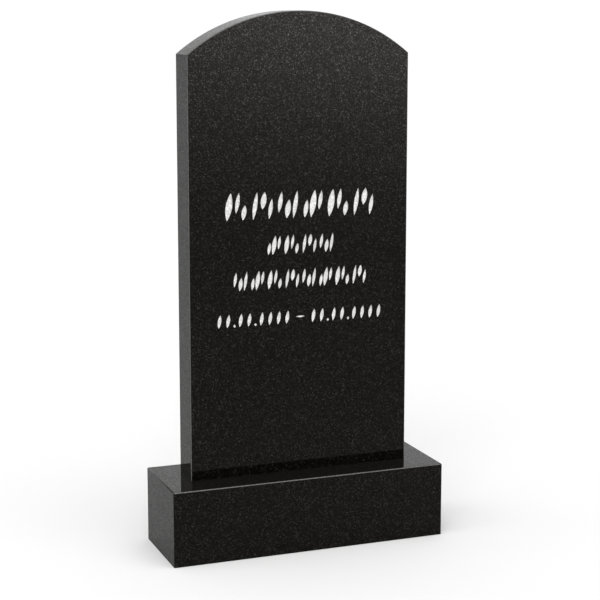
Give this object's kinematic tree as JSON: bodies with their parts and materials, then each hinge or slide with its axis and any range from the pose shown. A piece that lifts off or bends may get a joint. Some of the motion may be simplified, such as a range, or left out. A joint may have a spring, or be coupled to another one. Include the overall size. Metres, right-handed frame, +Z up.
{
  "type": "headstone",
  "caption": "Upright headstone: a flat polished stone slab with a shallow arched top and rows of cut strokes on its front, standing on a low rectangular plinth that carries it.",
  "frame": {"origin": "middle of the plinth's underside, where the headstone stands", "axes": "+Z up along the slab's height; -Y is the front, the slab's face with the strokes; +X to the right for a viewer in front"},
  "size_m": [0.62, 0.205, 1.1579],
  "materials": {
    "polished_black_stone": "polished"
  },
  "bodies": {
    "root": {"headstone_slab": "polished_black_stone", "plinth": "polished_black_stone"}
  },
  "joints": []
}
